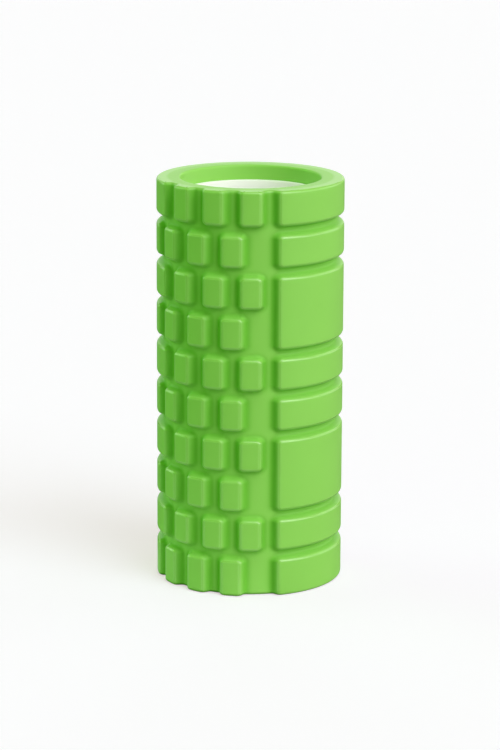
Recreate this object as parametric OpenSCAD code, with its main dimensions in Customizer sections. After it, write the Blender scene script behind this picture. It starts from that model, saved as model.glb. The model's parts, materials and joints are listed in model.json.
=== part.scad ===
// Textured foam roller: a moulded foam sleeve bonded over a rigid hollow core.
// The roller stands on one end face. Its axis is +Z and the origin is the
// centre of the lower end face. Angles run round from the front, -Y, to +X.

/* [Roller] */
// Length of the foam, from end face to end face
roller_length = 305; // [240:1:360]
// Diameter over the pads
roller_d = 140; // [120:1:160]

/* [Core tube] */
// Wall of the core tube, whose outside fits the foam's bore
tube_wall = 3.2; // [2:0.1:6]
// How far each cut end of the tube lies inside the foam
tube_recess = 11; // [4:0.5:20]
// Bevel that takes the burr off the tube's cut ends
tube_bevel = 0.5; // [0.2:0.1:0.9]

/* [Bond] */
// Thickness of the cement film between the tube and the foam
film_t = 0.3; // [0.2:0.05:0.6]
// How far the cement film stops short of each end of the tube
film_margin = 4; // [1:0.5:12]

/* [Foam sleeve] */
// Wall of the foam, from its bore to the pads' faces
foam_wall = 17.5; // [14:0.1:22]
// Depth of the moulded grooves, from the pads' faces to the web
groove_depth = 5.3; // [3:0.1:8]
// Lean of the pads' walls along the ring grooves, so that the sleeve leaves its mould
wall_lean = 24; // [5:1:30]
// Lean of the pads' walls along the slots
side_lean = 32; // [5:1:36]
// Bevel along the edges of the pads at the ring grooves
pad_bevel = 1.4; // [0.5:0.1:2.4]
// Bevel along the edges of the pads at the slots
side_bevel = 1.9; // [0.5:0.1:2.4]
// Bevel round the outside of the two end faces
rim_bevel = 1.6; // [0.5:0.1:2.4]
// Bevel round the mouths of the foam's bore
mouth_bevel = 1.2; // [0.4:0.1:2.4]

/* [Tread] */
// Number of rows of pads along the roller
rows = 10; // [6:1:12]
// Width of a ring groove where it meets the pads' faces
ring_groove_w = 8.4; // [6:0.1:10]
// How far the ring grooves sit above an even spacing
groove_rise = 1.1; // [0:0.1:4]
// Number of blocks in one row
blocks_in_row = 3; // [2:1:3]
// Angle at which the middle of the blocks lies
blocks_at = -29.3; // [-34:0.1:-27]
// Angle that one block takes
block_angle = 12.6; // [11:0.1:15]
// Angle from one block to the next in its row
block_pitch = 23.9; // [22:0.1:25]
// Angle at which the bands and the palm pads start, past the blocks
bands_from = 18; // [16:0.5:30]
// Angle that a palm pad takes
palm_angle = 90; // [70:1:120]
// Angle of the gap between the far end of a palm pad and the two bars that follow it
palm_gap = 11.3; // [8:0.1:14]
// Rows from one palm pad to the next. Each palm pad takes up two rows
palm_every = 4; // [3:1:5]

/* [Hidden] */

$fn = 180;
// How far cuts run past the surface that they open
overcut = 1;
// How far the slots of one row run past the middle of a groove
slot_lap = 0.4;

outer_r = roller_d / 2;
web_r = outer_r - groove_depth;
sleeve_bore_r = outer_r - foam_wall;
tube_r = sleeve_bore_r - film_t;
bore_r = tube_r - tube_wall;
tube_length = roller_length - 2 * tube_recess;
row_pitch = roller_length / rows;
block_stagger = block_pitch / 2;
palm_to = bands_from + palm_angle;

// Height of the middle of the ring groove below row k, where row 1 is the top one
function groove_z(k) = roller_length - k * row_pitch + groove_rise;

// Heights between which the slots beside the blocks of row k are cut. They run a
// little past the middle of each groove, so that the slots of two rows always meet
function slots_from(k) = k == rows ? -overcut : groove_z(k) - slot_lap;
function slots_to(k) = k == 1 ? roller_length + overcut : groove_z(k - 1) + slot_lap;

// The groove below row k stops at a palm pad, which bridges it
function bridged(k) = k < rows && k % palm_every == palm_every - 1;

// A palm pad takes up part of row k
function has_palm(k) = bridged(k) || (k > 1 && bridged(k - 1));

// Angle of the middle of block b of row k
function block_at(k, b) =
    blocks_at + (b - (blocks_in_row - 1) / 2) * block_pitch
    + (k % 2 == 1 ? 1 : -1) * block_stagger / 2;

// Point at radius r and angle a from the front
function polar(r, a) = [r * sin(a), -r * cos(a)];

// A barrel of radius r with bevelled end edges
module barrel(r, bevel) {
    rotate_extrude()
        polygon([
            [0, 0],
            [r - bevel, 0],
            [r, bevel],
            [r, roller_length - bevel],
            [r - bevel, roller_length],
            [0, roller_length]
        ]);
}

// Half width of a ring groove where its wall has run in by depth d below the pads' faces
function half_groove(d) = ring_groove_w / 2 - d * tan(wall_lean);

// Section of a ring groove: its walls lean outwards, and the bevels run on past the pads' faces
module ring_groove_section() {
    bevel_spread = (pad_bevel + ring_groove_w / 2 - half_groove(pad_bevel)) / pad_bevel;
    half_clear = half_groove(pad_bevel) + (pad_bevel + overcut) * bevel_spread;
    half_bottom = half_groove(groove_depth + overcut);
    polygon([
        [web_r - overcut, -half_bottom],
        [outer_r - pad_bevel, -half_groove(pad_bevel)],
        [outer_r + overcut, -half_clear],
        [outer_r + overcut, half_clear],
        [outer_r - pad_bevel, half_groove(pad_bevel)],
        [web_r - overcut, half_bottom]
    ]);
}

// All ring grooves. A bridged one stops short of the palm pad's end walls, in the
// slots beside them, and runs round through everything else
module ring_grooves() {
    foot_angle = atan((groove_depth + overcut) * tan(side_lean) / web_r);
    for (k = [1 : rows - 1])
        translate([0, 0, groove_z(k)])
            if (bridged(k))
                rotate(palm_to + foot_angle - 90)
                    rotate_extrude(angle = 360 - palm_angle - 2 * foot_angle)
                        ring_groove_section();
            else
                rotate_extrude()
                    ring_groove_section();
}

// Point on the wall of a slot that starts at angle a, at depth d below the pads' faces.
// side is 1 for the wall that the slot starts with, and -1 for the one that it ends with
function slot_wall(a, d, side) =
    polar(outer_r, a) - polar(d / cos(side_lean), a - side * side_lean);

// Point past the pads' faces on the bevel above that wall
function slot_bevel(a, side) =
    let (foot = slot_wall(a, side_bevel, side))
    let (mouth = polar(outer_r, a - side * asin(side_bevel / outer_r)))
    mouth + (mouth - foot) * overcut / side_bevel;

// Plan of one slot between two pads, cut along the axis between angles a0 and a1
module slot_plan(a0, a1) {
    below_web = groove_depth + overcut;
    clear_r = (outer_r + 2 * overcut) / cos((a1 - a0) / 2);
    polygon([
        slot_wall(a0, below_web, 1),
        slot_wall(a0, side_bevel, 1),
        slot_bevel(a0, 1),
        polar(clear_r, a0),
        polar(clear_r, a1),
        slot_bevel(a1, -1),
        slot_wall(a1, side_bevel, -1),
        slot_wall(a1, below_web, -1)
    ]);
}

// The slots of row k: one of the same width before each block, a last one up to where
// the bands start, and one at the far end of a palm pad
module slots_plan(k) {
    for (b = [0 : blocks_in_row])
        slot_plan(
            block_at(k, b - 1) + block_angle / 2,
            b == blocks_in_row ? bands_from : block_at(k, b) - block_angle / 2
        );
    if (has_palm(k))
        slot_plan(palm_to, palm_to + palm_gap);
}

// The slots of all rows
module slots() {
    for (k = [1 : rows])
        translate([0, 0, slots_from(k)])
            linear_extrude(slots_to(k) - slots_from(k))
                slots_plan(k);
}

// Bore of the foam, with bevelled mouths
module sleeve_bore() {
    rotate_extrude()
        polygon([
            [0, -overcut],
            [sleeve_bore_r + mouth_bevel, -overcut],
            [sleeve_bore_r + mouth_bevel, 0],
            [sleeve_bore_r, mouth_bevel],
            [sleeve_bore_r, roller_length - mouth_bevel],
            [sleeve_bore_r + mouth_bevel, roller_length],
            [sleeve_bore_r + mouth_bevel, roller_length + overcut],
            [0, roller_length + overcut]
        ]);
}

// Foam sleeve: one moulding, with the pads standing on a web that runs all round
module foam_sleeve() {
    color([0.50, 0.80, 0.32])
        difference() {
            union() {
                barrel(web_r, rim_bevel);
                difference() {
                    barrel(outer_r, rim_bevel);
                    ring_grooves();
                    slots();
                }
            }
            sleeve_bore();
        }
}

// Core tube: extruded rigid plastic, cut to length and deburred
module core_tube() {
    color([0.93, 0.94, 0.92])
        translate([0, 0, tube_recess])
            rotate_extrude()
                polygon([
                    [bore_r, tube_bevel],
                    [bore_r + tube_bevel, 0],
                    [tube_r - tube_bevel, 0],
                    [tube_r, tube_bevel],
                    [tube_r, tube_length - tube_bevel],
                    [tube_r - tube_bevel, tube_length],
                    [bore_r + tube_bevel, tube_length],
                    [bore_r, tube_length - tube_bevel]
                ]);
}

// Film of contact cement that holds the sleeve to the tube
module bond_film() {
    color([0.85, 0.80, 0.62])
        translate([0, 0, tube_recess + film_margin])
            rotate_extrude()
                translate([tube_r, 0])
                    square([film_t, tube_length - 2 * film_margin]);
}

foam_sleeve();
core_tube();
bond_film();
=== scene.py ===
# %% [markdown]
# # A textured foam roller
# The roller is a sleeve of closed-cell foam, moulded in one piece and cemented over a cut
# length of rigid white tube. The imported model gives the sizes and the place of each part,
# in metres, with the roller standing on the floor and its axis along +Z. This file gives
# the foam its soft moulded shape and gives every surface its finish.

import json

import bpy
import numpy as np
from mathutils import Matrix, Vector


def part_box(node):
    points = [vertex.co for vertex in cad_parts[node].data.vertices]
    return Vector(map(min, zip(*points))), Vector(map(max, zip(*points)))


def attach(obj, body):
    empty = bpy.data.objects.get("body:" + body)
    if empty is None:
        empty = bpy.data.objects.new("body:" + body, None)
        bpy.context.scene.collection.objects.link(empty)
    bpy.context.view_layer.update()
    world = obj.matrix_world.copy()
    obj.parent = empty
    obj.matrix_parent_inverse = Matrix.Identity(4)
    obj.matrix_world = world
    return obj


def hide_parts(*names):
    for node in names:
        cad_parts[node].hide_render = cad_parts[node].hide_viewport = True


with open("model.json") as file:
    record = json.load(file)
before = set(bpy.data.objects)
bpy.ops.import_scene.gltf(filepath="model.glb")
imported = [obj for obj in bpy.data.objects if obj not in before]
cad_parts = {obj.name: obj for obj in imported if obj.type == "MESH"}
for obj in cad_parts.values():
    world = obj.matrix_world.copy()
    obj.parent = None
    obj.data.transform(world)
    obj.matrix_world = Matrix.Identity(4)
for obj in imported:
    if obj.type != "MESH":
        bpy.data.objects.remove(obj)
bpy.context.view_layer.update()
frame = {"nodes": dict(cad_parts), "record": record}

# %% [markdown]
# The outside sizes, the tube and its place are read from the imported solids, so the script
# follows them when they change. The foam is cemented over the tube, so its bore is the
# outside of the cement film. What no box can tell, such as the depth of the grooves, is
# named in millimetres where it is first needed.

# %% Sizes of the roller
MM = 0.001
sleeve_low, sleeve_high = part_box("foam_sleeve")
film_low, film_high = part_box("bond_film")
tube_low, tube_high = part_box("core_tube")
mounts = {m["name"]: m for m in frame["record"]["mounts"]}

LENGTH = sleeve_high.z - sleeve_low.z
OUTER_R = (sleeve_high.x - sleeve_low.x) / 2
SLEEVE_BORE_R = (film_high.x - film_low.x) / 2
TUBE_R = (tube_high.x - tube_low.x) / 2
TUBE_BORE_R = mounts["core_bore"]["dims"]["r_mm"] * MM
print(f"sleeve {LENGTH / MM:.1f} long, radius {OUTER_R / MM:.1f}, bore {SLEEVE_BORE_R / MM:.1f} mm")
print(f"tube radius {TUBE_R / MM:.1f}, bore {TUBE_BORE_R / MM:.1f} mm")

# %% [markdown]
# ## The tread
# One quarter of the way round stand small blocks in staggered rows. The other three
# quarters have one long band to a row, but two palm pads take the place of two rows each
# for the first third of the way, and a gap parts each from the bars that carry the rows on.
# The pads could be modelled one by one and joined to the sleeve. Here they are only a list:
# every pad is a rounded rectangle on the unrolled surface, so its middle and its two half
# sizes describe it, and one formula can shape them all. Angles run from the front, -Y,
# towards +X, and become lengths of arc at the pads' faces.

# %% Sizes of the tread
ROWS = 10
GROOVE_W = 8.4 * MM  # width of a ring groove at the pads' faces
GROOVE_RISE = 1.1 * MM  # how far the ring grooves sit above an even spacing
BLOCKS_AT = np.radians(-29.3)  # where the middle of the blocks lies
BLOCK = np.radians(12.6)  # what one block takes of the way round
BLOCK_PITCH = np.radians(23.9)  # from one block to the next in its row
BANDS_FROM = np.radians(18.0)  # where the bands and the palm pads start, past the blocks
PALM = np.radians(90)  # what a palm pad takes of the way round
PALM_GAP = np.radians(11.3)  # between a palm pad and the two bars that follow it
BRIDGED_GROOVES = (3, 7)  # a palm pad bridges the groove below each of these rows
PAST_THE_END = 20 * MM  # how far the end rows' pads run on, so that no edge lies at the rim

ROW_PITCH = LENGTH / ROWS
AROUND = 2 * np.pi * OUTER_R
print(f"rows {ROW_PITCH / MM:.1f} mm apart, {AROUND / MM:.1f} mm round")

# %% [markdown]
# The list holds the blocks, then the bands and bars, and then the palm pads. A pad's height
# comes from the grooves above and below it, so that pads and grooves can't drift apart.

# %% List of the pads
def groove_z(k):
    """Height of the middle of the groove below row k. Row 1 is at the top."""
    return LENGTH - k * ROW_PITCH + GROOVE_RISE


def row_span(first, last):
    """Lower and upper edge of a pad from row first to row last. End rows run past the end."""
    low = -PAST_THE_END if last == ROWS else groove_z(last) + GROOVE_W / 2
    high = LENGTH + PAST_THE_END if first == 1 else groove_z(first - 1) - GROOVE_W / 2
    return low, high


def pad(start, end, first, last):
    """A pad between two angles and from row first to row last.

    Kept as its middle's arc and height, its half width along the arc and its half height."""
    low, high = row_span(first, last)
    return (start + end) / 2 * OUTER_R, (low + high) / 2, (end - start) * OUTER_R / 2, (high - low) / 2


def stagger(k):
    """How far the blocks of row k are shifted round: odd rows one way and even rows the other."""
    return BLOCK_PITCH / 4 * (1 if k % 2 else -1)


def blocks():
    """The staggered blocks, three to a row."""
    for k in range(1, ROWS + 1):
        for b in (-1, 0, 1):
            middle = BLOCKS_AT + b * BLOCK_PITCH + stagger(k)
            yield pad(middle - BLOCK / 2, middle + BLOCK / 2, k, k)


def long_pads():
    """A band for each row, or where a groove is bridged, a palm pad over two rows and two bars.

    Each band ends one block's pitch before the first block of its row, so its end is staggered too."""
    in_palm = {row for k in BRIDGED_GROOVES for row in (k, k + 1)}
    for k in range(1, ROWS + 1):
        start = BANDS_FROM + PALM + PALM_GAP if k in in_palm else BANDS_FROM
        end = 2 * np.pi + BLOCKS_AT - 2 * BLOCK_PITCH + stagger(k) + BLOCK / 2
        yield pad(start, end, k, k)
    for k in BRIDGED_GROOVES:
        yield pad(BANDS_FROM, BANDS_FROM + PALM, k, k + 1)


pads = np.array([*blocks(), *long_pads()])
print(len(pads), "pads in", ROWS, "rows")

# %% [markdown]
# ## The relief
# The real mould is cut with a tapered tool, which leaves leaning walls, so that the foam
# comes out, and rounds in every corner. Cutting grooves with the Boolean modifier and
# rounding them with Bevel would leave slivers where the rounds meet. A height field has no
# such places. At each place the distance to the edge of the nearest pad is found, negative
# inside it, and one profile turns that distance into a depth: flat on the pad, a rounded
# edge, a leaning wall, a rounded root, and the web at full depth.

# %% Distance to the nearest pad
WALL_LEAN = np.radians(24)  # of the walls along the ring grooves
SIDE_LEAN = np.radians(32.3)  # of the walls along the slots
CORNER_R = 2.2 * MM  # of a pad's corners, seen from outside


def pad_distance(arc, z):
    """Distance from places (arc, z) to the nearest pad's edge, negative inside.

    A rounded rectangle's distance: fold the place into one quarter of the pad, take off the
    half sizes less the corner radius, and measure to what is left, less the radius. Lengths of
    arc count for less, in the ratio of the two leans, so that the side walls slope more gently."""
    gentle = np.tan(SIDE_LEAN) / np.tan(WALL_LEAN)
    nearest = np.full(np.broadcast(arc, z).shape, np.inf)
    for at, height, half_w, half_h in pads:
        aside = np.abs((arc - at + AROUND / 2) % AROUND - AROUND / 2)
        across = (aside - half_w) / gentle + CORNER_R
        along = np.abs(z - height) - half_h + CORNER_R
        outside = np.hypot(np.maximum(across, 0), np.maximum(along, 0))
        inside = np.minimum(np.maximum(across, along), 0)
        nearest = np.minimum(nearest, outside + inside - CORNER_R)
    return nearest


in_groove = pad_distance(np.zeros(1), np.array([groove_z(1)]))[0]
print(f"the middle of the first ring groove is {in_groove / MM:.1f} mm from the pads")

# %% [markdown]
# The profile is drawn once, as a maker would draw it: a straight wall with an arc at its
# top and another at its foot. Each arc is tangent to what it joins, so no line shows there.

# %% Depth of the relief
GROOVE_DEPTH = 5.3 * MM
PAD_EDGE_R = 2.8 * MM  # radius of the arc at the top of a wall
GROOVE_ROOT_R = 2.4 * MM  # radius of the arc at its foot

HALF_TURN = (np.pi / 2 - WALL_LEAN) / 2  # half of what an arc turns between face and wall
EDGE_RUN = PAD_EDGE_R * np.tan(HALF_TURN)  # from an arc's ends to the sharp corner it replaces
ROOT_RUN = GROOVE_ROOT_R * np.tan(HALF_TURN)
FOOT = GROOVE_DEPTH * np.tan(WALL_LEAN)  # distance at which the wall would meet the web


def pad_depth(d):
    """Depth below the pads' faces at distance d from a pad's edge.

    The leaning wall is a straight line. An arc tangent to it and to the face rounds the
    edge, and a second arc, tangent to it and to the web, fills the root."""
    into_edge = np.clip(d + EDGE_RUN, 0, PAD_EDGE_R)
    to_web = np.clip(FOOT + ROOT_RUN - d, 0, GROOVE_ROOT_R)
    edge = PAD_EDGE_R - np.sqrt(PAD_EDGE_R**2 - into_edge**2)
    wall = d / np.tan(WALL_LEAN)
    root = GROOVE_DEPTH - (GROOVE_ROOT_R - np.sqrt(GROOVE_ROOT_R**2 - to_web**2))
    on_edge = d < EDGE_RUN * np.sin(WALL_LEAN)
    on_root = d > FOOT - ROOT_RUN * np.sin(WALL_LEAN)
    return np.where(on_edge, edge, np.where(on_root, root, wall))


print(f"an edge rounds over {EDGE_RUN / MM:.2f} mm, a wall's foot is {FOOT / MM:.2f} mm out")

# %% [markdown]
# ## The grid
# Even spacing would either facet the pads' edges or waste points on their faces, and so
# would Subdivision Surface, which adds points everywhere. The grid lines crowd together
# near each edge instead, and spread out between edges.

# %% Crowded grid lines
RIM_R = 2.2 * MM  # radius of the round between the side and an end face
FINE = 0.34 * MM  # closest spacing of the lines
COARSE = 1.6 * MM  # widest spacing
SLOT_REACH = 3.6 * MM  # how far from a slot's edge the lines stay fine
GROOVE_REACH = 2.6 * MM  # the same for a ring groove's edge
SPREAD_OUT = 0.2  # growth of the spacing with the distance beyond that
SAMPLES = 20001  # places at which the spacing is worked out
MICRON_DIGITS = 6  # edges that agree to a micrometre count as one


def crowded_lines(start, stop, edges, reach):
    """Places from start to stop, close together near the edges and spread out elsewhere.

    The wanted spacing is FINE within reach of an edge and grows by SPREAD_OUT * distance
    beyond it, up to COARSE. The lines stand where the sum of 1 / spacing passes whole steps."""
    place = np.linspace(start, stop, SAMPLES)
    away = np.min(np.abs(place[:, None] - np.asarray(edges)[None, :]), axis=1)
    spacing = np.clip(FINE + SPREAD_OUT * (away - reach), FINE, COARSE)
    steps = np.concatenate([[0], np.cumsum(np.diff(place) / spacing[1:])])
    count = int(np.ceil(steps[-1]))
    return np.interp(np.linspace(0, steps[-1], count + 1), steps, place)


side_edges = np.unique(np.round(np.concatenate([
    (pads[:, 0] - pads[:, 2]) % AROUND,
    (pads[:, 0] + pads[:, 2]) % AROUND,
]), MICRON_DIGITS))
# The way round closes on itself, so an edge just past one end counts at the other end too.
wrapped_edges = np.concatenate([side_edges - AROUND, side_edges, side_edges + AROUND])
row_edges = [groove_z(k) + s * GROOVE_W / 2 for k in range(1, ROWS) for s in (-1, 1)]

arc = crowded_lines(0, AROUND, wrapped_edges, SLOT_REACH)[:-1]
side_z = crowded_lines(RIM_R, LENGTH - RIM_R, row_edges, GROOVE_REACH)
print(len(arc), "lines along the roller,", len(side_z), "rings round it")

# %% [markdown]
# ## The sleeve
# The real sleeve is one moulding, so it is one closed skin here too. Its outside runs up
# the tread with a rounded rim at each end. Going round the rim, the whole tread outline
# shrinks by an even inset, so the gaps between the blocks keep their shape as they notch
# the end face. Bevel would have to round the rim and the blocks' edges at once, and such
# rounds tangle where they meet.

# %% Outside of the sleeve
RIM_STEPS = 9


def quarter(steps):
    """Angles of a quarter turn, from 0 to 90 degrees, ends included."""
    return np.linspace(0, np.pi / 2, steps + 1)


def outline(inset, z):
    """Radius of the tread, and distance to its pads, at each arc for stations of the section.

    The face sinks by a station's inset. A wall that is moved in by as much, square to itself,
    then lies further from the groove by inset * (1 / cos(lean) - tan(lean))."""
    shift = inset * (1 / np.cos(WALL_LEAN) - np.tan(WALL_LEAN))
    distance = pad_distance(arc[:, None], z[None, :]) + shift[None, :]
    return OUTER_R - inset[None, :] - pad_depth(distance), distance


def sleeve_outside():
    """Radius, height and distance for the stations from the lower end face to the upper one.

    Each rim is a quarter circle. At angle t its inset is RIM_R * (1 - cos(t)), and it is
    RIM_R * (1 - sin(t)) from the end."""
    turn = quarter(RIM_STEPS)[1:]
    rim_in = RIM_R * (1 - np.cos(turn))
    rim_up = RIM_R * (1 - np.sin(turn))
    inset = np.concatenate([rim_in[::-1], np.zeros(len(side_z)), rim_in])
    z = np.concatenate([rim_up[::-1], side_z, LENGTH - rim_up])
    tread_r, distance = outline(inset, z)
    return tread_r, z, distance


tread_r, tread_z, distance = sleeve_outside()
print("tread grid", tread_r.shape, "radius", tread_r.min() / MM, "to", tread_r.max() / MM, "mm")

# %% [markdown]
# The section goes on from the upper rim as one loop: in across the end face, round the
# mouth, down the bore, round the lower mouth, and back out across the lower end face. The
# end faces could be filled with one large polygon each, but their notched outlines would
# then shade badly. Even steps from each rim place to the mouth keep them as small quads.

# %% Foam sleeve's section
MOUTH_R = 1.6 * MM  # radius of the round at the mouths of the bore
MOUTH_STEPS = 7
BORE_RINGS = 40
FACE_STEPS = 6


def across_face(start, end):
    """Radii in even steps from start to end, at each arc, with both ends left out."""
    share = np.linspace(0, 1, FACE_STEPS + 1)[1:-1]
    return start[:, None] + (end - start)[:, None] * share[None, :]


def sleeve_section():
    """Corner places of the sleeve: arcs down the rows, stations of the section along the columns.

    A mouth is a quarter circle. At angle t it is MOUTH_R * (1 - sin(t)) wider than the bore
    and MOUTH_R * (1 - cos(t)) from the end face."""
    turn = quarter(MOUTH_STEPS)
    mouth_r = SLEEVE_BORE_R + MOUTH_R * (1 - np.sin(turn))
    mouth_down = MOUTH_R * (1 - np.cos(turn))
    bore_z = np.linspace(LENGTH - MOUTH_R, MOUTH_R, BORE_RINGS)[1:-1]

    lines = len(arc)
    mouth_edge = np.full(lines, mouth_r[0])
    radius = np.hstack([
        tread_r,
        across_face(tread_r[:, -1], mouth_edge),
        np.tile(mouth_r, (lines, 1)),
        np.full((lines, len(bore_z)), SLEEVE_BORE_R),
        np.tile(mouth_r[::-1], (lines, 1)),
        across_face(mouth_edge, tread_r[:, 0]),
    ])
    height = np.concatenate([
        tread_z,
        np.full(FACE_STEPS - 1, LENGTH),
        LENGTH - mouth_down,
        bore_z,
        mouth_down[::-1],
        np.zeros(FACE_STEPS - 1),
    ])
    return radius, height


radius, height = sleeve_section()
print("sleeve grid", radius.shape, "radius", radius.min() / MM, "to", radius.max() / MM, "mm")

# %% [markdown]
# A closed loop carried round the axis closes both ways, so the mesh has neither a seam
# nor a pole. Whole arrays go into the mesh at once, which is far quicker than adding its
# corners one by one. The faces are listed so that they point out of the foam.

# %% Grid to mesh
def loop_mesh(name, radius, height, angle):
    """A mesh from radii (angles x stations), closed round the axis and round the section.

    A place at radius r and angle a is (r * sin(a), -r * cos(a)), with its station's height."""
    x = radius * np.sin(angle)[:, None]
    y = -radius * np.cos(angle)[:, None]
    z = np.broadcast_to(height, radius.shape)
    lines, stations = radius.shape
    corner = np.arange(lines * stations).reshape(lines, stations)
    next_line = np.roll(corner, -1, axis=0)
    quads = np.stack([
        corner, next_line, np.roll(next_line, -1, axis=1), np.roll(corner, -1, axis=1)
    ], axis=-1).reshape(-1, 4)
    mesh = bpy.data.meshes.new(name)
    mesh.vertices.add(lines * stations)
    mesh.vertices.foreach_set("co", np.stack([x, y, z], axis=-1).astype(np.float32).ravel())
    mesh.loops.add(quads.size)
    mesh.loops.foreach_set("vertex_index", quads.astype(np.int32).ravel())
    mesh.polygons.add(len(quads))
    mesh.polygons.foreach_set("loop_start", np.arange(0, quads.size, 4, dtype=np.int32))
    mesh.update(calc_edges=True)
    mesh.validate()
    mesh.shade_smooth()
    piece = bpy.data.objects.new(name, mesh)
    bpy.context.scene.collection.objects.link(piece)
    return piece


foam = loop_mesh("moulded_foam", radius, height, arc / OUTER_R)
print("foam faces:", len(foam.data.polygons))

# %% [markdown]
# ## Marks for the finish, the painted shade and the painted highlight
# The mould's polish shows most on the edges, and the edges also get a paler green as a painted
# highlight. The feet of the walls are painted a deeper green as shade. A Pointiness or Bevel
# node could find such places, but only while Cycles renders. The grid knows them exactly, so
# three marks are stored with the mesh: how deep a place lies in the tread, how near it is to a
# rounded edge, and how near to a wall's foot. The foot mark, and so its painted shade, is
# weaker beside ring grooves than beside slots.

# %% Three marks
FOOT_SPREAD = 2.4 * MM
RING_GROOVE_FADE = 0.5  # share of the foot mark that is lost beside a ring groove
EDGE_MIDDLE = -EDGE_RUN * (1 - np.sin(WALL_LEAN)) / 2  # distance at the middle of the round
EDGE_SPREAD = 0.55 * EDGE_RUN
RIM_MIDDLE = 0.3 * RIM_R  # how far from an end face the rim's polish is strongest
RIM_SPREAD = 0.45 * RIM_R


def fading_from(middle, spread, d):
    """A smooth mark that is 1 where d is at the middle and falls off as exp(-x * x)."""
    return np.exp(-((d - middle) / spread)**2)


def over_sleeve(tread_mark):
    """The mark of the tread's stations, carried on as 0 over the rest of the section."""
    whole = np.zeros(radius.shape)
    whole[:, :tread_mark.shape[1]] = tread_mark
    return whole


def mark(piece, name, values):
    """Stores one number for each corner of a piece, for its material to read."""
    layer = piece.data.attributes.new(name, "FLOAT", "POINT")
    layer.data.foreach_set("value", values.astype(np.float32).ravel())


depth_mark = over_sleeve(np.clip(pad_depth(distance) / GROOVE_DEPTH, 0, 1))

# The distance changes with height beside a ring groove, and not beside a slot.
beside_ring_groove = np.abs(np.gradient(distance, tread_z, axis=1))
# The foot mark paints shade: it takes the creases towards a deeper green, and less so beside the ring
# grooves.
foot_mark = over_sleeve(
    fading_from(FOOT, FOOT_SPREAD, distance) * (1 - RING_GROOVE_FADE * beside_ring_groove))

# The rims are edges too. The bore's mouths lie at the same heights, but get no mark.
# Besides the polish, the edge mark paints a highlight: a paler green on the pads' edges and the rims.
edge_mark = over_sleeve(fading_from(EDGE_MIDDLE, EDGE_SPREAD, distance))
rim_mark = fading_from(RIM_MIDDLE, RIM_SPREAD, np.minimum(height, LENGTH - height))
on_the_tread = radius > OUTER_R - GROOVE_DEPTH - RIM_R
edge_mark = np.maximum(edge_mark, rim_mark[None, :] * on_the_tread)

mark(foam, "tread_depth", depth_mark)
mark(foam, "tread_foot", foot_mark)
mark(foam, "tread_edge", edge_mark)
print("marks:", [a.name for a in foam.data.attributes if a.name.startswith("tread")])

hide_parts("foam_sleeve")
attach(foam, "root")

# %% [markdown]
# ## The core tube
# The tube is sawn from extruded pipe and its cut edges are rubbed round. A cylinder with
# Solidify and Bevel would do too. But its section is again a closed loop, so the grid that
# made the sleeve makes it as well, with no modifier.

# %% Core tube
PIPE_EDGE_R = 0.7 * MM  # radius to which the cut edges are rubbed
PIPE_EDGE_STEPS = 4
PIPE_RINGS = 24
PIPE_SIDES = 256


def tube_section():
    """Radii and heights round the tube's wall, with a small round at each of its four corners.

    Each round is a quarter circle: at angle t it is PIPE_EDGE_R * (1 - cos(t)) in from the
    wall's surface and PIPE_EDGE_R * (1 - sin(t)) in from the cut end."""
    turn = quarter(PIPE_EDGE_STEPS)
    low, high = tube_low.z, tube_high.z
    in_from_wall = PIPE_EDGE_R * (1 - np.cos(turn))
    in_from_end = PIPE_EDGE_R * (1 - np.sin(turn))
    rings_z = np.linspace(low + PIPE_EDGE_R, high - PIPE_EDGE_R, PIPE_RINGS)[1:-1]
    r = np.concatenate([
        TUBE_R - in_from_wall[::-1],
        np.full(len(rings_z), TUBE_R),
        TUBE_R - in_from_wall,
        TUBE_BORE_R + in_from_wall[::-1],
        np.full(len(rings_z), TUBE_BORE_R),
        TUBE_BORE_R + in_from_wall,
    ])
    z = np.concatenate([
        low + in_from_end[::-1],
        rings_z,
        high - in_from_end,
        high - in_from_end[::-1],
        rings_z[::-1],
        low + in_from_end,
    ])
    return r, z


tube_r, tube_z = tube_section()
pipe_angles = np.arange(PIPE_SIDES) * 2 * np.pi / PIPE_SIDES
tube = loop_mesh("core_pipe", np.tile(tube_r, (PIPE_SIDES, 1)), tube_z, pipe_angles)
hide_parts("core_tube")
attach(tube, "root")
print("tube faces:", len(tube.data.polygons))

# %% [markdown]
# ## Finishes
# Moulded foam, extruded plastic and dried cement all have a fine grain and a colour that
# drifts a little. Image maps would need unwrapping and blur close up. Noise on Object
# coordinates has neither fault. A few helpers keep the node trees short to write: a
# number and a socket are given to a node in the same way.

# %% Node helpers
def new_group(name, inputs, outputs):
    """An empty shader node group with named sockets; returns it with its two end nodes."""
    group = bpy.data.node_groups.new(name, "ShaderNodeTree")
    for kind, label, value in inputs:
        socket = group.interface.new_socket(label, in_out="INPUT", socket_type=kind)
        socket.default_value = value
    for kind, label in outputs:
        group.interface.new_socket(label, in_out="OUTPUT", socket_type=kind)
    return group, group.nodes.new("NodeGroupInput"), group.nodes.new("NodeGroupOutput")


def feed(tree, value, socket):
    """Gives a socket a plain number, or links another socket to it."""
    if isinstance(value, (int, float)):
        socket.default_value = value
    else:
        tree.links.new(value, socket)


def math_node(tree, operation, a, b):
    """A Math node; a and b are numbers or sockets. Returns its output."""
    node = tree.nodes.new("ShaderNodeMath")
    node.operation = operation
    for socket, value in zip(node.inputs, (a, b)):
        feed(tree, value, socket)
    return node.outputs[0]


def noise(tree, place, scale, detail, roughness=0.5):
    """A Noise node on a place socket. Returns its grey output, which is about 0.5 on average."""
    node = tree.nodes.new("ShaderNodeTexNoise")
    node.inputs["Detail"].default_value = detail
    node.inputs["Roughness"].default_value = roughness
    tree.links.new(place, node.inputs["Vector"])
    feed(tree, scale, node.inputs["Scale"])
    return node.outputs["Fac"]


print("helpers for node trees are ready")

# %% [markdown]
# All three surfaces share one node group, and each gives it its own sizes. A coarse noise,
# swung round zero, scales the colour and shifts the roughness. A fine one is the height of
# a bump. Stretch draws both out along the pipe, as the extruder does.

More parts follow.
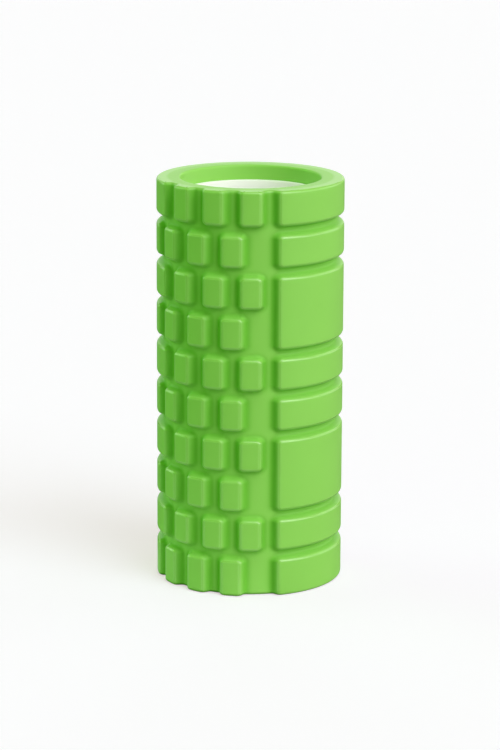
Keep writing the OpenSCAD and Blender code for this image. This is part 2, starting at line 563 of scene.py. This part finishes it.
# %% Grain group
def grain_group():
    """Colour drift, roughness drift and a fine pebbled bump for a moulded or extruded surface.

    swing = 2 * (noise - 0.5), colour * (1 + drift * swing), roughness + its drift * swing."""
    group, ins, outs = new_group("moulded_grain", [
        ("NodeSocketColor", "Colour", (0.5, 0.5, 0.5, 1)),
        ("NodeSocketFloat", "Drift", 0.06),
        ("NodeSocketFloat", "Drift Scale", 25.0),
        ("NodeSocketFloat", "Grain Scale", 900.0),
        ("NodeSocketFloat", "Grain Height", 0.00004),
        ("NodeSocketFloat", "Roughness", 0.5),
        ("NodeSocketFloat", "Roughness Drift", 0.08),
        ("NodeSocketVector", "Stretch", (1, 1, 1)),
    ], [("NodeSocketColor", "Colour"), ("NodeSocketFloat", "Roughness"), ("NodeSocketVector", "Normal")])
    place = group.nodes.new("ShaderNodeTexCoord").outputs["Object"]
    stretch = group.nodes.new("ShaderNodeVectorMath")
    stretch.operation = "MULTIPLY"
    group.links.new(place, stretch.inputs[0])
    group.links.new(ins.outputs["Stretch"], stretch.inputs[1])
    where = stretch.outputs["Vector"]

    patches = noise(group, where, ins.outputs["Drift Scale"], detail=4.0)
    swing = math_node(group, "MULTIPLY", math_node(group, "SUBTRACT", patches, 0.5), 2.0)
    gain = math_node(group, "ADD", math_node(group, "MULTIPLY", swing, ins.outputs["Drift"]), 1.0)
    tint = group.nodes.new("ShaderNodeVectorMath")
    tint.operation = "SCALE"
    group.links.new(ins.outputs["Colour"], tint.inputs[0])
    group.links.new(gain, tint.inputs["Scale"])
    group.links.new(tint.outputs["Vector"], outs.inputs["Colour"])

    rough = math_node(group, "MULTIPLY", swing, ins.outputs["Roughness Drift"])
    group.links.new(math_node(group, "ADD", rough, ins.outputs["Roughness"]), outs.inputs["Roughness"])

    grain = noise(group, where, ins.outputs["Grain Scale"], detail=3.0, roughness=0.6)
    bump = group.nodes.new("ShaderNodeBump")
    bump.inputs["Strength"].default_value = 1.0
    group.links.new(grain, bump.inputs["Height"])
    group.links.new(ins.outputs["Grain Height"], bump.inputs["Distance"])
    group.links.new(bump.outputs["Normal"], outs.inputs["Normal"])
    return group


GRAIN = grain_group()
print("grain group sockets:", [s.name for s in GRAIN.interface.items_tree])

# %% [markdown]
# The Principled shader stays in each material, and what is the same all over a surface is
# set straight on its sockets, where an exporter can read it. A mark comes in through an
# Attribute node, and a Mix node blends two colours by it.

# %% Material helpers
def new_material(name, **sockets):
    """A material with one Principled shader, whose named sockets get plain values."""
    material = bpy.data.materials.new(name)
    material.use_nodes = True
    shader = material.node_tree.nodes["Principled BSDF"]
    for label, value in sockets.items():
        shader.inputs[label.replace("_", " ")].default_value = value
    return material, shader


def add_grain(material, **values):
    """Places the grain group in a material with its own values. Returns the group's node."""
    node = material.node_tree.nodes.new("ShaderNodeGroup")
    node.node_tree = GRAIN
    for label, value in values.items():
        node.inputs[label.replace("_", " ")].default_value = value
    return node


def mark_socket(tree, name):
    """The socket that reads one of the marks stored with a mesh."""
    node = tree.nodes.new("ShaderNodeAttribute")
    node.attribute_name = name
    return node.outputs["Fac"]


def towards(tree, colour, other, share):
    """A colour socket mixed towards another colour, by a share socket."""
    node = tree.nodes.new("ShaderNodeMix")
    node.data_type = "RGBA"
    node.inputs["B"].default_value = other
    tree.links.new(share, node.inputs["Factor"])
    tree.links.new(colour, node.inputs["A"])
    return node.outputs["Result"]


print("helpers for materials are ready")

# %% [markdown]
# Closed-cell foam comes out of its mould with a skin. It is even and slightly glossy, and lets
# a little light through. The three marks steer the rest: edges turn glossier and get a paler
# green as a painted highlight; feet lose their gloss and are painted a deeper green, which
# stands for the shade in the creases and the green light that bounces there from wall to wall;
# and the web is a little duller.

# %% Foam
FOAM_GREEN = (0.33, 0.70, 0.14, 1)
# A darker green that is painted along the walls' feet as shade.
FOAM_PAINTED_SHADE = (0.10, 0.46, 0.008, 1)
# A paler green that is painted on the edges as a highlight.
FOAM_PAINTED_HIGHLIGHT = (0.42, 0.77, 0.22, 1)
FOOT_PAINTED_SHADE = 0.6  # how far a foot goes towards the deep green
EDGE_PAINTED_HIGHLIGHT = 0.2  # how far an edge goes towards the pale green
EDGE_POLISH = 0.12  # roughness that an edge loses
GROOVE_DULL = 0.05  # roughness that the web gains
GLOSS = 0.3  # specular level of the skin
EDGE_GLOSS = 0.8  # specular level that an edge gains
FOOT_MATT = 0.28  # specular level that a foot loses


def foam_material():
    """Green foam with a moulded skin.

    The colour is the grain's, mixed towards FOAM_PAINTED_SHADE by foot * FOOT_PAINTED_SHADE,
    which is painted shade in the creases, and then towards FOAM_PAINTED_HIGHLIGHT by
    edge * EDGE_PAINTED_HIGHLIGHT, which is a painted highlight on the edges. The roughness is
    the grain's, less edge * EDGE_POLISH, plus depth * GROOVE_DULL. The specular level is
    GLOSS + edge * EDGE_GLOSS - foot * FOOT_MATT."""
    material, shader = new_material("green_foam", Subsurface_Weight=0.05, Subsurface_Scale=0.002)
    shader.inputs["Subsurface Radius"].default_value = (0.6, 1.0, 0.3)
    tree = material.node_tree
    grain = add_grain(material, Colour=FOAM_GREEN, Drift=0.04, Drift_Scale=22.0,
                      Grain_Scale=1100.0, Grain_Height=0.00002, Roughness=0.38,
                      Roughness_Drift=0.05)
    edge = mark_socket(tree, "tread_edge")
    foot = mark_socket(tree, "tread_foot")
    deep = mark_socket(tree, "tread_depth")
    # Painted shade: the feet of the walls go towards the deeper green.
    to_painted_shade = math_node(tree, "MULTIPLY", foot, FOOT_PAINTED_SHADE)
    colour = towards(tree, grain.outputs["Colour"], FOAM_PAINTED_SHADE, to_painted_shade)
    # Painted highlight: the edges go towards the paler green.
    to_painted_highlight = math_node(tree, "MULTIPLY", edge, EDGE_PAINTED_HIGHLIGHT)
    colour = towards(tree, colour, FOAM_PAINTED_HIGHLIGHT, to_painted_highlight)
    tree.links.new(colour, shader.inputs["Base Color"])

    polish = math_node(tree, "MULTIPLY", edge, -EDGE_POLISH)
    dull = math_node(tree, "MULTIPLY", deep, GROOVE_DULL)
    rough = math_node(tree, "ADD", math_node(tree, "ADD", polish, dull), grain.outputs["Roughness"])
    tree.links.new(rough, shader.inputs["Roughness"])

    shine = math_node(tree, "ADD", math_node(tree, "MULTIPLY", edge, EDGE_GLOSS), GLOSS)
    matt = math_node(tree, "MULTIPLY", foot, FOOT_MATT)
    shine = math_node(tree, "SUBTRACT", shine, matt)
    tree.links.new(shine, shader.inputs["Specular IOR Level"])
    tree.links.new(grain.outputs["Normal"], shader.inputs["Normal"])
    return material


foam.data.materials.append(foam_material())
print("foam material:", foam.data.materials[0].name)

# %% [markdown]
# Extruded pipe has faint lines along its length from the die, and brushed cement dries
# yellowish and lumpy. Both need nothing but the grain group with other values.

# %% Pipe and cement
PIPE_WHITE = (0.96, 0.97, 0.95, 1)
CEMENT = (0.62, 0.52, 0.28, 1)


def plain_grained(name, colour, roughness, **values):
    """A material whose colour, roughness and bump all come from the grain group."""
    material, shader = new_material(name)
    grain = add_grain(material, Colour=colour, Roughness=roughness, **values)
    tree = material.node_tree
    tree.links.new(grain.outputs["Colour"], shader.inputs["Base Color"])
    tree.links.new(grain.outputs["Roughness"], shader.inputs["Roughness"])
    tree.links.new(grain.outputs["Normal"], shader.inputs["Normal"])
    return material


tube.data.materials.append(plain_grained(
    "white_pipe", PIPE_WHITE, 0.38, Drift=0.02, Drift_Scale=60.0, Grain_Scale=500.0,
    Grain_Height=0.00002, Stretch=(1, 1, 0.04)))

# The film is hidden but for its edge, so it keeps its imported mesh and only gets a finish.
film = frame["nodes"]["bond_film"]
film.data.materials.clear()
film.data.materials.append(plain_grained(
    "dried_cement", CEMENT, 0.6, Drift=0.15, Drift_Scale=90.0, Grain_Scale=400.0,
    Grain_Height=0.0001))
print("materials:", [m.name for m in bpy.data.materials])

# %% [markdown]
# ## The room
# The roller stands in a white cloth tent in a studio. The camera sees the tent as an even
# near-white. If that much light fell on the roller too, it would flatten the tread, so the
# world has two faces: the backdrop, for the camera alone, and a faint greenish light for
# everything else. The Light Path node tells the two apart.

# %% Room
BACKDROP = 0.968
ROOM = (0.13, 0.205, 0.004)


def room(colour):
    """The world: faint even light, and a near-white backdrop for the camera alone."""
    world = bpy.data.worlds.new("room")
    bpy.context.scene.world = world
    world.use_nodes = True
    tree = world.node_tree
    tree.nodes.clear()
    out = tree.nodes.new("ShaderNodeOutputWorld")
    lit = tree.nodes.new("ShaderNodeBackground")
    lit.inputs["Color"].default_value = (*colour, 1)
    seen = tree.nodes.new("ShaderNodeBackground")
    seen.inputs["Color"].default_value = (BACKDROP, BACKDROP, BACKDROP, 1)
    path = tree.nodes.new("ShaderNodeLightPath")
    mix = tree.nodes.new("ShaderNodeMixShader")
    tree.links.new(path.outputs["Is Camera Ray"], mix.inputs[0])
    tree.links.new(lit.outputs[0], mix.inputs[1])
    tree.links.new(seen.outputs[0], mix.inputs[2])
    tree.links.new(mix.outputs[0], out.inputs["Surface"])


room(ROOM)
print("room light", ROOM, "backdrop", BACKDROP)

# %% [markdown]
# ## Light
# Area lamps close by would light the roller's top and foot unevenly. Each lamp is a sun
# with a wide disc instead, so it lights the floor evenly and its shadow melts away. The
# key is three suns, from high in front to low at the right. Weaker suns stand for the lit
# cloth behind, at the sides and above. The light that comes back from the left and the
# front has bounced off green things. It keeps the creases there a deep green, as does the
# room's even light.

# %% Lamps
WHITE = (1.0, 1.0, 1.0)
LEAF = (0.25, 1.0, 0.08)
SHADE = (0.12, 1.0, 0.0)
LAMPS = [
    # name, then in degrees: around from the front to the right, above the floor, width of
    # the disc, then strength, colour
    ("key", 42, 40, 40, 1.00, WHITE),
    ("key_high", 20, 60, 30, 0.48, WHITE),
    ("key_low", 60, 10, 50, 1.27, WHITE),
    ("right_cloth", 115, 12, 50, 0.63, WHITE),
    ("back_cloth", 180, 12, 50, 0.55, WHITE),
    ("left_rim", -118, 12, 50, 0.62, WHITE),
    ("left_cloth", -98, 15, 50, 0.70, LEAF),
    ("front_cloth", -25, 25, 60, 0.26, SHADE),
    ("top_cloth", 0, 90, 50, 0.27, WHITE),
]


def lamp_object(name, kind, power, colour):
    """A lamp of some kind in the scene, with its object and data named alike."""
    data = bpy.data.lights.new(name, kind)
    data.energy = power
    data.color = colour
    lamp = bpy.data.objects.new(name, data)
    bpy.context.scene.collection.objects.link(lamp)
    return lamp


def sun(name, around, above, disc, strength, colour):
    """A sun lamp with a disc of some degrees, turned to shine from where it stands.

    Its place is (sin(around) * cos(above), -cos(around) * cos(above), sin(above))."""
    around = np.radians(around)
    above = np.radians(above)
    place = Vector((np.sin(around) * np.cos(above), -np.cos(around) * np.cos(above), np.sin(above)))
    lamp = lamp_object(name, "SUN", strength, colour)
    lamp.data.angle = np.radians(disc)
    lamp.rotation_euler = place.to_track_quat("Z", "Y").to_euler()
    return lamp


for lamp in LAMPS:
    sun(*lamp)
print(len(LAMPS), "suns of strength", round(sum(lamp[4] for lamp in LAMPS), 2), "in all")

# %% [markdown]
# Two small lights complete it. The green-tinted light would leave the white pipe, deep in
# the foam, dull and greenish, so a pinkish sun makes up for it. Light linking lets it fall
# on the pipe alone. A white card by the foot of the roller throws a little light up at the
# lowest rows.

# %% Pipe light and card
PIPE_TINT = (0.87, 0.57, 1.0)
CARD_AT = (-0.16, -0.14, 0.002)


def card(name, place, size, power):
    """A square lamp that lies at a place just above the floor and faces up, as a white card would."""
    lamp = lamp_object(name, "AREA", power, WHITE)
    lamp.data.size = size
    lamp.location = place
    lamp.rotation_euler = (np.pi, 0, 0)
    lamp.visible_camera = False


pipe_only = bpy.data.collections.new("pipe_only")
pipe_only.objects.link(tube)
pipe_light = sun("pipe_light", around=5, above=30, disc=40, strength=0.78, colour=PIPE_TINT)
pipe_light.light_linking.receiver_collection = pipe_only
card("low_card", CARD_AT, size=0.36, power=0.115)
print("lights:", [light.name for light in bpy.data.lights])

# %% [markdown]
# ## The floor
# A white floor reaches far past the roller, and beyond it the backdrop has the same white.
# The camera sees the floor as paper that glows a little, which keeps the shadow pale. How
# much of each colour is glow and how much is lit paper is set by what share of it the
# shadow may take away, and the two are matched to the lamps, so that the open floor is as
# white as the backdrop. Everything else sees dull grey-green paper, which throws little
# light up into the tread.

# %% Floor
SHADOW_SHARE = np.array([0.37, 0.52, 0.42])
PAPER = (0.30, 0.36, 0.26, 1)
FLOOR_REACH = 14.0


def open_floor_light():
    """Light on the open floor, as the radiance of a white surface there, for each colour.

    Each sun gives its strength times the sine of its height, over pi. The room gives itself."""
    suns = sum(strength * np.sin(np.radians(above)) * np.array(colour)
               for _, _, above, _, strength, colour in LAMPS)
    return suns / np.pi + np.array(ROOM)


def floor_material():
    """Matt paper, whose look for the camera alone is part glow and part shade.

    glow = backdrop * (1 - share), shade = backdrop * share / light on the open floor."""
    glow = BACKDROP * (1 - SHADOW_SHARE)
    shade = BACKDROP * SHADOW_SHARE / open_floor_light()
    material, shader = new_material("white_floor", Roughness=0.9, Specular_IOR_Level=0.0)
    tree = material.node_tree
    seen = tree.nodes.new("ShaderNodeMix")
    seen.data_type = "RGBA"
    seen.inputs["A"].default_value = PAPER
    seen.inputs["B"].default_value = (*shade, 1)
    camera_ray = tree.nodes.new("ShaderNodeLightPath").outputs["Is Camera Ray"]
    tree.links.new(camera_ray, seen.inputs["Factor"])
    tree.links.new(seen.outputs["Result"], shader.inputs["Base Color"])
    shader.inputs["Emission Color"].default_value = (*glow, 1)
    tree.links.new(camera_ray, shader.inputs["Emission Strength"])
    print("paper as seen: glow", np.round(glow, 3), "shade", np.round(shade, 3))
    return material


floor_mesh = bpy.data.meshes.new("floor")
floor_mesh.from_pydata([(x * FLOOR_REACH, y * FLOOR_REACH, 0) for x, y in
                        ((-1, -1), (1, -1), (1, 1), (-1, 1))], [], [(0, 1, 2, 3)])
floor = bpy.data.objects.new("floor", floor_mesh)
bpy.context.scene.collection.objects.link(floor)
floor.data.materials.append(floor_material())

# %% [markdown]
# ## The camera
# The camera stands a little over two metres off with a long lens and looks slightly down,
# which keeps the roller's sides nearly upright. A Track To constraint could aim it, but
# would leave no room for its small roll. Three unit vectors make its matrix instead.

# %% Camera
CAMERA_AT = Vector((0.0002, -2.165, 0.665))
CAMERA_DOWN = np.radians(13.3)
CAMERA_ROLL = np.radians(0.24)
LENS_MM = 141.5
SENSOR_MM = 36

ahead = Vector((0, np.cos(CAMERA_DOWN), -np.sin(CAMERA_DOWN)))
level_up = Vector((0, np.sin(CAMERA_DOWN), np.cos(CAMERA_DOWN)))
level_right = Vector((1, 0, 0))
right = level_right * np.cos(CAMERA_ROLL) + level_up * np.sin(CAMERA_ROLL)
up = level_up * np.cos(CAMERA_ROLL) - level_right * np.sin(CAMERA_ROLL)
camera_data = bpy.data.cameras.new("camera")
camera_data.lens = LENS_MM
camera_data.sensor_width = SENSOR_MM
camera = bpy.data.objects.new("camera", camera_data)
camera.matrix_world = Matrix.Translation(CAMERA_AT) @ Matrix((right, up, -ahead)).transposed().to_4x4()
bpy.context.scene.collection.objects.link(camera)
bpy.context.scene.camera = camera
bpy.context.scene.view_settings.view_transform = "Standard"
print("camera", round(CAMERA_AT.length, 2), "m from the roller's foot")
